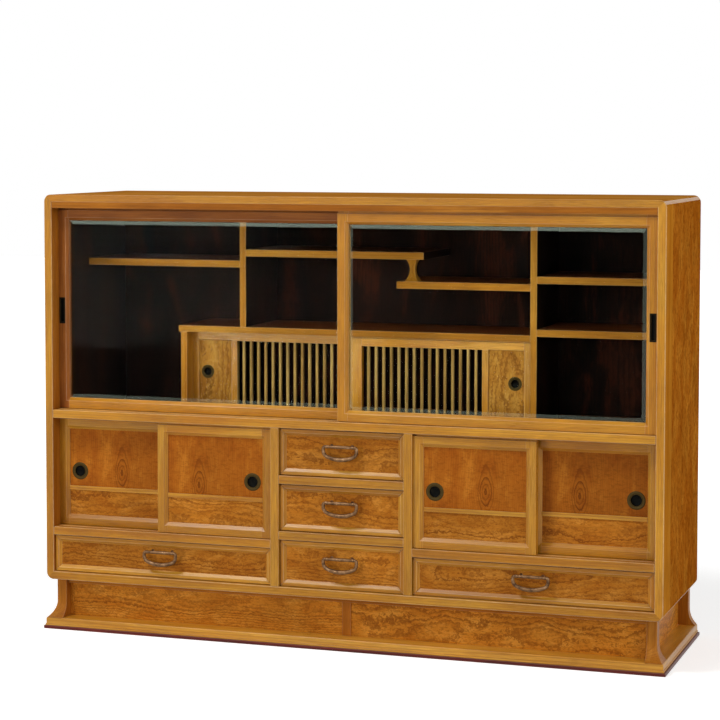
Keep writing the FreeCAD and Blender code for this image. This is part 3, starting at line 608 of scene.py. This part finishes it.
def dressBoards(node, finishes, arris, along=None, pith=None, paint=None, cuts=(), smooth=None,
                pithShift=None, joint=None):
    # paint says for a face's middle and normal which of the finishes it has
    bm = copyNode(node)
    bm.normal_update()
    easeArrises(bm, arris, joint=joint)
    for point, normal in cuts:
        score(bm, point, normal)
    markTimber(bm, seedOf(node), along, pith, pithShift)
    if paint:
        for face in bm.faces:
            face.material_index = paint(face.calc_center_median(), face.normal)
    putInPlace(node, "_wood", bm, finishes, smooth)


# carcase

# how squarely a face looks along an axis, and the play allowed when places are compared
facing = {"squarely": 0.9, "mostly": 0.7, "partly": 0.3}
play = 0.001
carcase = {"arris": 0.0020, "railArris": 0.0005, "deckArris": 0.0016, "partitionArris": 0.0008,
           "trackBack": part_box("upper_head_rail")[1].y, "lip": 0.0015, "band": 0.080, "skin": 0.005,
           "inset": 0.01, "sideLog": 0.10, "smooth": 20}
caseLow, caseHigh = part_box("case_sides")
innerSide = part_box("middle_deck")[1].x
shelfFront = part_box("upper_shelves")[0].y


def mitred(face):
    # the slanting ends where side and top or bottom boards meet stay sharp and closed
    centre, normal = face.calc_center_median(), face.normal
    leansIn = normal.x * centre.x * normal.z * (centre.z - (caseLow.z + caseHigh.z) / 2) < 0
    return leansIn and abs(normal.x) > facing["partly"] and abs(normal.z) > facing["partly"]


def sideFinish(centre, normal):
    # straight grain on the front edge and round the corners, figured wood outside, stained wood inside; the
    # inside and the jambs before the tracks are darkened as painted shade
    outward = abs(normal.x) > facing["squarely"] and normal.x * centre.x > 0
    if outward and abs(centre.x) > innerSide + carcase["skin"]:
        if centre.y < caseLow.y + carcase["lip"]:
            return 0
        return 1 if centre.y > caseLow.y + carcase["band"] else 3
    if abs(centre.x) < innerSide + play:
        return 2 if centre.y > carcase["trackBack"] else 4
    return 0


def boardFinish(centre, normal):
    # golden edges, dark stain inside behind the tracks, deepened as painted shade, a paler board on top
    if centre.z > caseHigh.z + play and normal.z > facing["mostly"]:
        return 2
    inside = caseLow.z + carcase["inset"] < centre.z < caseHigh.z - carcase["inset"]
    level = abs(normal.z) > facing["mostly"]
    return 1 if inside and level and centre.y > carcase["trackBack"] else 0


trackCut = [((0, carcase["trackBack"], 0), (0, 1, 0))]
bandCut = [((0, caseLow.y + carcase["band"], 0), (0, 1, 0))]
dressBoards("case_sides", ["frameWood", "sideWood", "innerStainAndPaintedShade", "bandWood", "railWood"],
            carcase["arris"], "Z", paint=sideFinish, cuts=trackCut + bandCut,
            smooth=carcase["smooth"], pithShift=carcase["sideLog"], joint=mitred)
for node in ("case_top", "case_bottom"):
    dressBoards(node, ["frameWood", "innerStainAndPaintedShade", "topWood"], carcase["arris"], "X", paint=boardFinish,
                cuts=trackCut, smooth=carcase["smooth"], joint=mitred)
# the inside of the back is dark stain deepened as painted shade
dressBoards("back_panels", ["backWood", "redWoodAndPaintedShade"], 0.0, "Z",
            paint=lambda centre, normal: 1 if normal.y > facing["mostly"] else 0)
# the head rail is of darker wood as painted shade under the top
dressBoards("upper_head_rail", ["railWood"], carcase["railArris"], "X")


def behindTracks(centre, normal):
    # a golden rail in front and the upper storey's brown floor behind it, darkened as painted shade
    return 1 if centre.y > carcase["trackBack"] + play else 0


def stainAndShadeBehind(axis):
    # dark stain behind the tracks on the faces that look along the axis, deepened as painted shade
    def finish(centre, normal):
        return 1 if centre.y > carcase["trackBack"] and abs(normal[axis]) > facing["mostly"] else 0
    return finish


dressBoards("middle_deck", ["frameWood", "shelfWood"], carcase["deckArris"], "X", paint=behindTracks)
dressBoards("lower_partitions", ["frameWood", "innerStainAndPaintedShade"], carcase["partitionArris"], "Z", cuts=trackCut,
            paint=stainAndShadeBehind(0))
dressBoards("lower_boards", ["frameWood", "innerStainAndPaintedShade"], carcase["deckArris"], "X", cuts=trackCut,
            paint=stainAndShadeBehind(2))

shelves = {"arris": 0.0008, "postArris": 0.0006, "edge": 0.0012, "postSmooth": 30}
smallCupboard = {"topEdge": 0.005, "sideEdge": 0.010}
cupboardLow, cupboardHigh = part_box("small_cupboard_case")
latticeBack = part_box("lattice_door_left_frame")[1].y


def shelfFinish(centre, normal):
    # golden front edges, brown tops, dark stain below and on the sides; tops and stain are darkened as
    # painted shade
    if centre.y < shelfFront + shelves["edge"]:
        return 0
    return 2 if normal.z > facing["mostly"] else 1


def cupboardFinish(centre, normal):
    # golden again inside, as far back as the lattice doors
    under = centre.z < cupboardHigh.z - smallCupboard["topEdge"]
    if under and centre.x > cupboardLow.x + smallCupboard["sideEdge"] and centre.y < latticeBack:
        return 0
    return shelfFinish(centre, normal)


for node, direction in (("upper_dividers", "Z"), ("upper_shelves", "X")):
    dressBoards(node, ["shelfEdge", "innerStainAndPaintedShade", "shelfWood"], shelves["arris"], direction,
                paint=shelfFinish)
dressBoards("shelf_post", ["shelfEdge"], shelves["postArris"], "Z", smooth=shelves["postSmooth"])
dressBoards("small_cupboard_case", ["shelfEdge", "innerStainAndPaintedShade", "shelfWood"], shelves["arris"], ["X", "Z"],
            paint=cupboardFinish, cuts=[((0, latticeBack, 0), (0, 1, 0))])
print("carcase made")


# plinth

moulding = {"width": 0.062, "bead": 0.0045, "stand": 0.0015, "round": 0.0006, "foot": 0.0008,
            "quirk": 0.0007, "top": 0.0018, "smooth": 25}
plinth = {"soleArris": 0.0012, "frameArris": 0.0010, "contact": 0.0005, "smooth": 20}


def makeMoulding():
    # a strip with a bead along its foot, mitred at the four corners
    low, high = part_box("plinth_moulding")
    tall = high.z - low.z
    width, bead, stand = moulding["width"], moulding["bead"], moulding["stand"]
    curve, top = moulding["round"], moulding["top"]
    profile = [(width, 0), (curve, 0), (0, moulding["foot"]), (0, bead - curve), (curve, bead),
               (stand + curve, bead), (stand, bead + moulding["quirk"]), (stand, tall - top),
               (stand + top, tall), (width, tall)]
    corners = [Vector((low.x, low.y, low.z)), Vector((high.x, low.y, low.z)),
               Vector((high.x, high.y, low.z)), Vector((low.x, high.y, low.z))]
    inwards = [Vector((0, 1, 0)), Vector((-1, 0, 0)), Vector((0, -1, 0)), Vector((1, 0, 0))]
    whole = bmesh.new()
    timberLayers(whole)
    for index in range(4):
        bm = bmesh.new()
        timberLayers(bm)
        start, end = corners[index], corners[(index + 1) % 4]
        run = (end - start).normalized()
        inward = inwards[index]
        verts = [bm.verts.new(start + inward * depth + Vector((0, 0, height))) for depth, height in profile]
        face = bm.faces.new(verts)
        grown = bmesh.ops.extrude_face_region(bm, geom=[face])
        moved = [item for item in grown["geom"] if isinstance(item, bmesh.types.BMVert)]
        bmesh.ops.translate(bm, vec=end - start, verts=moved)
        bmesh.ops.recalc_face_normals(bm, faces=bm.faces)
        saw(bm, start, inward - run)
        saw(bm, end, inward + run)
        part = bpy.data.meshes.new("mouldingBar")
        bm.to_mesh(part)
        bm.free()
        whole.from_mesh(part)
        bpy.data.meshes.remove(part)
    markTimber(whole, seedOf("plinth_moulding"))
    # the moulding's paler wood is painted light
    putInPlace("plinth_moulding", "_wood", whole, ["mouldingWood"], moulding["smooth"])


makeMoulding()
dressBoards("plinth_sole", ["soleWood"], plinth["soleArris"])
# the panels' paler burl is painted light against the shade under the case
dressBoards("plinth_panels", ["plinthWood"], 0.0, pithShift=sawing["figured"])
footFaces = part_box("plinth_panels")


def meetsPanel(face):
    # the sides of the feet that the panels come up against
    depth = face.calc_center_median().y
    nearest = min(abs(depth - footFaces[0].y), abs(depth - footFaces[1].y))
    return abs(face.normal.y) > facing["squarely"] and nearest < plinth["contact"]


# the feet and rails are of darker wood as painted shade under the case
dressBoards("plinth_frame", ["railWood"], plinth["frameArris"], smooth=plinth["smooth"], joint=meetsPanel)
print("plinth made")


# sliding doors

# where the eye in each upper panel's figure lies, along X and Z
eyes = {"lower_door_1": (-0.570, 0.381), "lower_door_2": (-0.358, 0.367),
        "lower_door_3": (0.341, 0.387), "lower_door_4": (0.551, 0.384)}
doorFrame = {"arris": 0.0005}
lowerDoor = {"panelJoint": 0.34}
lattice = {"barEnd": 0.006, "barFront": 0.002, "barBack": 0.012, "stile": 0.026}
pane = {"border": 0.010, "seat": 0.0115, "edgeShare": 0.5}
barPull = {"arris": 0.0007, "segments": 3, "smooth": 40}
# the cup's line is in shares of its radius, the bead's in distances from it, the ring's in shares of the
# pull's radius and of the lip, and the depths of the first two are from the door's face
roundPull = {
    "steps": 56, "smooth": 50, "cupShare": 0.66, "wall": 0.0012, "lip": 0.0016, "shoulder": 0.0002,
    "cupLine": [(0.0, 0.0066), (0.55, 0.0065), (0.92, 0.0054), (1.0, 0.0042), (1.0, 0.0004)],
    "beadLine": [(0.0004, -0.0007), (0.0013, -0.0009), (0.0018, -0.0003), (0.0026, -0.0010)],
    "ringLine": [(0.84, 1.0), (0.93, 0.75), (0.985, 0.3), (1.0, 0.0)]}


def makePane(node):
    # plate glass with a broad bevel ground round its front edge
    low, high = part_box(node)
    bm = bmesh.new()
    box(bm, low, high)
    front = min(bm.faces, key=lambda face: face.calc_center_median().y)
    edge = pane["border"] + pane["seat"]
    ring = bmesh.ops.inset_region(bm, faces=[front], thickness=edge, depth=0.0)["faces"]
    for face in ring:
        face.material_index = 1
    slope = (high.y - low.y) * pane["edgeShare"]
    outer = [vert for vert in bm.verts if abs(vert.co.y - low.y) < touching and vert not in front.verts]
    bmesh.ops.translate(bm, vec=(0, slope, 0), verts=outer)
    putInPlace(node, "_glass", bm, ["paneGlass", "bevelGlass"])


def makeRoundPull(node):
    # a turned cup with a domed ring round its mouth
    low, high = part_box(node)
    radius = (high.x - low.x) / 2
    lip = roundPull["lip"]
    face, cup = low.y + lip, radius * roundPull["cupShare"]
    inner = cup - roundPull["wall"]
    outline = [(inner * share, face + depth) for share, depth in roundPull["cupLine"]]
    outline += [(inner + out, face + depth) for out, depth in roundPull["beadLine"]]
    outline += [(radius * share, face - lip * height) for share, height in roundPull["ringLine"]]
    outline += [(cup, face + roundPull["shoulder"]), (cup, high.y), (0.0, high.y)]
    bm = bmesh.new()
    arrisLayer = bm.faces.layers.float.new("arris")
    verts = [bm.verts.new((distance, depth, 0)) for distance, depth in outline]
    edges = [bm.edges.new(pair) for pair in zip(verts, verts[1:])]
    bmesh.ops.spin(bm, geom=verts + edges, cent=(0, 0, 0), axis=(0, 1, 0), angle=math.tau,
                   steps=roundPull["steps"], use_merge=True)
    bmesh.ops.remove_doubles(bm, verts=bm.verts, dist=touching)
    bmesh.ops.recalc_face_normals(bm, faces=bm.faces)
    # the ring is rubbed to bare bronze, the cup stays black, partly as painted shade in its hollow
    for ringFace in bm.faces:
        spot = ringFace.calc_center_median()
        ringFace[arrisLayer] = 1.0 if math.hypot(spot.x, spot.z) > inner else 0.0
    bmesh.ops.translate(bm, vec=((low.x + high.x) / 2, 0, (low.z + high.z) / 2), verts=bm.verts)
    putInPlace(node, "_iron", bm, ["pullIron"], roundPull["smooth"])


def makeBarPull(node):
    bm = copyNode(node)
    easeArrises(bm, barPull["arris"], barPull["segments"])
    putInPlace(node, "_iron", bm, ["pullIron"], barPull["smooth"])


def makeGlassDoor(side):
    # the rear door's top rail and outer stile are of darker, redder wood, painted shade from the case's top
    # and side
    door = "glass_door_" + side
    paneLow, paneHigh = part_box(door + "_pane")
    outer, above = paneLow.x + pane["seat"], paneHigh.z - pane["seat"]

    def frameFinish(centre, normal):
        return 1 if side == "left" and (centre.x < outer or centre.z > above) else 0

    dressBoards(door + "_frame", ["frameWood", "redWoodAndPaintedShade"], doorFrame["arris"], paint=frameFinish)
    makePane(door + "_pane")
    makeBarPull(door + "_pull")


def makeLatticeDoor(side):
    # the bars are paler than the frame that holds them
    door = "lattice_door_" + side
    low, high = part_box(door + "_frame")
    panelLow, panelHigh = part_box(door + "_panel")

    def frameFinish(centre, normal):
        deepEnough = low.y + lattice["barFront"] < centre.y < low.y + lattice["barBack"]
        between = panelLow.z + lattice["barEnd"] < centre.z < panelHigh.z - lattice["barEnd"]
        besidePanel = not panelLow.x < centre.x < panelHigh.x
        clearOfStiles = low.x + lattice["stile"] < centre.x < high.x - lattice["stile"]
        return 1 if deepEnough and between and besidePanel and clearOfStiles else 0

    dressBoards(door + "_frame", ["frameWood", "barWood"], doorFrame["arris"], paint=frameFinish)
    dressBoards(door + "_panel", ["latticeBurl"], 0.0, "Z", pithShift=sawing["figured"])
    makeRoundPull(door + "_pull")


def makeLowerDoor(door, eyeX, eyeZ):
    # the lower board comes first, then the upper one with the eye in its figure
    dressBoards(door + "_frame", ["frameWood"], doorFrame["arris"])
    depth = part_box(door + "_panels")[0].y
    dressBoards(door + "_panels", ["eyeWood", "burlWood"], 0.0, ["X", "Z"],
                pith=[None, (eyeX, depth, eyeZ)], pithShift=sawing["figured"],
                paint=lambda centre, normal: 0 if centre.z > lowerDoor["panelJoint"] else 1)
    makeRoundPull(door + "_pull")


for side in ("left", "right"):
    makeGlassDoor(side)
    makeLatticeDoor(side)
for door, (eyeX, eyeZ) in eyes.items():
    makeLowerDoor(door, eyeX, eyeZ)
print("doors made")


# drawers

drawerFront = {"border": 0.015, "flat": 0.008, "recess": 0.005, "joint": 0.0003, "arris": 0.0006,
               "tongue": 0.0004, "panelBack": 0.0005}
drawerBox = {"arris": 0.0005}
# in the lines of the tip, the post and the rosette each share is of the radius of that part, and the
# distance beside it is from the bar's end or from the panel
handle = {
    "barRadius": 0.0038, "knuckle": 0.006, "groove": 0.0028, "grooveFrom": 0.0008, "grooveTo": 0.0018,
    "grooveEnd": 0.0030, "neckShare": 0.86, "middleShare": 0.96, "bellyShare": 0.4, "postRadius": 0.0030,
    "postSpacing": 0.050, "postStart": 0.001, "stemShare": 0.8, "rosetteRadius": 0.0045, "steps": 28,
    "tipLine": [(0.0, 0.0), (0.7, 0.0), (0.97, 0.0006), (1.0, 0.0018)],
    "postLine": [(0.8, 0.0045), (1.0, 0.0030), (1.25, 0.0018)],
    "rosetteLine": [(0.75, 0.0013), (0.96, 0.0006), (1.0, 0.0)], "smooth": 40}


def makeDrawerFront(node):
    # four mitred borders whose inner edge slopes down to a figured panel
    low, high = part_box(node)
    border, flat, recess = drawerFront["border"], drawerFront["flat"], drawerFront["recess"]
    whole = bmesh.new()
    timberLayers(whole)
    for axis, side in ((0, -1), (0, 1), (2, -1), (2, 1)):
        bm = bmesh.new()
        timberLayers(bm)
        partLow, partHigh = list(low), list(high)
        if side < 0:
            partHigh[axis] = low[axis] + border
        else:
            partLow[axis] = high[axis] - border
        box(bm, partLow, partHigh)
        outward = Vector((0, 0, 0))
        outward[axis] = side
        other = 2 - axis
        for end in (-1, 1):
            corner = Vector((low.x, low.y, low.z))
            if (side if axis == 0 else end) > 0:
                corner.x = high.x
            if (end if axis == 0 else side) > 0:
                corner.z = high.z
            toward = Vector((0, 0, 0))
            toward[other] = end
            saw(bm, corner - toward * drawerFront["joint"], toward - outward)
        edge = Vector((low.x, low.y, low.z)) if side < 0 else Vector((high.x, low.y, high.z))
        slopeStart = edge - outward * flat
        rise = border - flat
        saw(bm, slopeStart, -outward * recess - Vector((0, 1, 0)) * rise)
        easeArrises(bm, drawerFront["arris"], 1)
        part = bpy.data.meshes.new("borderPart")
        bm.to_mesh(part)
        bm.free()
        whole.from_mesh(part)
        bpy.data.meshes.remove(part)
    markTimber(whole, seedOf(node))
    frontPiece = finishMesh(node + "_border", whole, bodyOf(node), ["frameWood"])
    panel = bmesh.new()
    timberLayers(panel)
    inset = border - drawerFront["tongue"]
    box(panel, (low.x + inset, low.y + recess, low.z + inset),
        (high.x - inset, high.y - drawerFront["panelBack"], high.z - inset))
    markTimber(panel, seedOf(node) + 1, "X", pithShift=sawing["figured"])
    panelPiece = finishMesh(node + "_panel", panel, bodyOf(node), ["burlWood"])
    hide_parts(node)
    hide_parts(node)


def turned(bm, outline, axis, origin, steps):
    # a turning on its own axis: outline is radius and place along the axis
    lengthwise = Vector(axis)
    sideways = Vector((0, 0, 1))
    verts = []
    for radius, place in outline:
        verts.append(bm.verts.new(Vector(origin) + sideways * radius + lengthwise * place))
    edges = [bm.edges.new(pair) for pair in zip(verts, verts[1:])]
    bmesh.ops.spin(bm, geom=verts + edges, cent=origin, axis=axis, angle=math.tau, steps=steps,
                   use_merge=True)


def makeHandle(node):
    # a turned bar across two posts that stand on rosettes
    low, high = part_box(node)
    centre = (low + high) / 2
    pivotZ = high.z - handle["rosetteRadius"]
    pivotY = low.y + handle["barRadius"]
    half = (high.x - low.x) / 2
    radius, groove, knuckle = handle["barRadius"], handle["groove"], handle["knuckle"]
    bm = bmesh.new()
    neck = half - knuckle
    halfOutline = [(radius * share, half - inset) for share, inset in handle["tipLine"]]
    halfOutline += [(radius, neck), (groove, neck - handle["grooveFrom"]),
                    (groove, neck - handle["grooveTo"]),
                    (radius * handle["neckShare"], neck - handle["grooveEnd"]),
                    (radius * handle["middleShare"], half * handle["bellyShare"]), (radius, 0.0)]
    outline = halfOutline + [(r, -place) for r, place in reversed(halfOutline[:-1])]
    turned(bm, outline, (1, 0, 0), (centre.x, pivotY, pivotZ), handle["steps"])
    panelFace, start = high.y, pivotY + handle["postStart"]
    stem = [(0.0, start), (handle["postRadius"] * handle["stemShare"], start)]
    stem += [(handle["postRadius"] * share, panelFace - out) for share, out in handle["postLine"]]
    stem += [(handle["rosetteRadius"] * share, panelFace - out) for share, out in handle["rosetteLine"]]
    stem += [(0.0, panelFace)]
    for side in (-1, 1):
        post = (centre.x + side * handle["postSpacing"] / 2, 0.0, pivotZ)
        turned(bm, stem, (0, 1, 0), post, handle["steps"])
    bmesh.ops.remove_doubles(bm, verts=bm.verts, dist=touching)
    bmesh.ops.recalc_face_normals(bm, faces=bm.faces)
    putInPlace(node, "_bronze", bm, ["handleBronze"], handle["smooth"])


def makeBail(node):
    putInPlace(node, "_bronze", copyNode(node), ["handleBronze"], handle["smooth"])


for drawer in ("left", "centre_1", "centre_2", "centre_3", "right"):
    name = "drawer_" + drawer
    makeDrawerFront(name + "_front")
    dressBoards(name + "_box", ["boxWood"], drawerBox["arris"])
    makeHandle(name + "_handle")
    makeBail(name + "_bail")
print("drawers made")


# camera, light and floor

shot = {"place": (1.6366, -5.0261, 1.1829), "turn": 0.33285, "tilt": 0.0605, "lens": 111.197,
        "shiftX": 0.04245, "shiftY": -0.12, "film": 36.0, "near": 0.1, "far": 60.0}
camera = bpy.data.objects.new("camera", bpy.data.cameras.new("camera"))
camera.data.lens = shot["lens"]
camera.data.sensor_width = shot["film"]
camera.data.shift_x = shot["shiftX"]
camera.data.shift_y = shot["shiftY"]
camera.location = shot["place"]
camera.rotation_euler = (math.pi / 2 - shot["tilt"], 0.0, shot["turn"])
camera.data.clip_start = shot["near"]
camera.data.clip_end = shot["far"]
scene.collection.objects.link(camera)
scene.camera = camera

lamps = {
    "key": {"place": (-1.6, -2.1, 4.0), "aim": (0.0, 0.0, 0.5), "width": 0.9, "height": 0.9,
            "power": 78.0, "lights": True, "shines": True},
    "fill": {"place": (-2.4, -4.4, 0.85), "aim": (0.0, 0.0, 0.4), "width": 1.5, "height": 1.2,
             "power": 62.0, "lights": True, "shines": False},
    "strip": {"place": (-1.6, -4.9, 1.95), "aim": (0.0, 0.0, 0.7), "width": 3.8, "height": 1.2,
              "power": 44.0, "lights": False, "shines": True},
    "side": {"place": (3.9, -2.0, 2.2), "aim": (0.0, 0.0, 0.5), "width": 2.0, "height": 2.0,
             "power": 70.0, "lights": True, "shines": True},
}
for lampName, lamp in lamps.items():
    light = bpy.data.lights.new(lampName, "AREA")
    light.shape = "RECTANGLE"
    light.size = lamp["width"]
    light.size_y = lamp["height"]
    light.energy = lamp["power"]
    lampObject = bpy.data.objects.new(lampName, light)
    lampObject.location = lamp["place"]
    lampObject.visible_diffuse = lamp["lights"]
    lampObject.visible_glossy = lamp["shines"]
    aim = Vector(lamp["aim"]) - Vector(lamp["place"])
    lampObject.rotation_euler = aim.to_track_quat("-Z", "Y").to_euler()
    scene.collection.objects.link(lampObject)

surround = {"light": 0.25, "backdrop": (1.0, 1.0, 1.0, 1.0)}
world = bpy.data.worlds.new("studio")
world.use_nodes = True
scene.world = world
worldTree = world.node_tree
worldTree.nodes.clear()


def backdropSeen(tree):
    # 1 for rays that show the backdrop itself, 0 for those that only light the object
    paths = addNode(tree, "ShaderNodeLightPath").outputs
    seen = calc(tree, "MAXIMUM", paths["Is Camera Ray"], paths["Is Glossy Ray"])
    return calc(tree, "MAXIMUM", seen, paths["Is Transmission Ray"])


dim = surround["light"]
strength = calc(worldTree, "MULTIPLY_ADD", backdropSeen(worldTree), 1.0 - dim, dim)
sky = addNode(worldTree, "ShaderNodeBackground", {"Color": surround["backdrop"], "Strength": strength})
worldOut = worldTree.nodes.new("ShaderNodeOutputWorld")
worldTree.links.new(sky.outputs[0], worldOut.inputs["Surface"])

ground = {"size": 30.0, "colour": (0.78, 0.78, 0.77, 1.0), "rough": 0.9, "sheen": 0.1,
          "lift": 0.58, "near": 0.95, "far": 2.3}
floorMesh = bmesh.new()
bmesh.ops.create_grid(floorMesh, x_segments=1, y_segments=1, size=ground["size"] / 2)
floorData = bpy.data.meshes.new("floor")
floorMesh.to_mesh(floorData)
floorMesh.free()
floor = bpy.data.objects.new("floor", floorData)
scene.collection.objects.link(floor)
floorMaterial, floorTree, floorOut = newMaterial("paleFloor")
# the floor grows as pale as the backdrop away from the object, which keeps its shadow
spot = addNode(floorTree, "ShaderNodeTexCoord").outputs["Object"]
away = addNode(floorTree, "ShaderNodeVectorMath", {0: spot}, operation="LENGTH").outputs["Value"]
paler = addNode(floorTree, "ShaderNodeMapRange",
                {"Value": away, "From Min": ground["near"], "From Max": ground["far"],
                 "To Min": ground["lift"], "To Max": 1.0},
                interpolation_type="SMOOTHSTEP").outputs["Result"]
lift = calc(floorTree, "MULTIPLY", backdropSeen(floorTree), paler)
floorShade = addNode(floorTree, "ShaderNodeBsdfPrincipled", {
    "Base Color": ground["colour"], "Roughness": ground["rough"], "Specular IOR Level": ground["sheen"],
    "Emission Color": (1.0, 1.0, 1.0, 1.0), "Emission Strength": lift})
floorTree.links.new(floorShade.outputs[0], floorOut.inputs["Surface"])
floorData.materials.append(floorMaterial)
print("stage made")
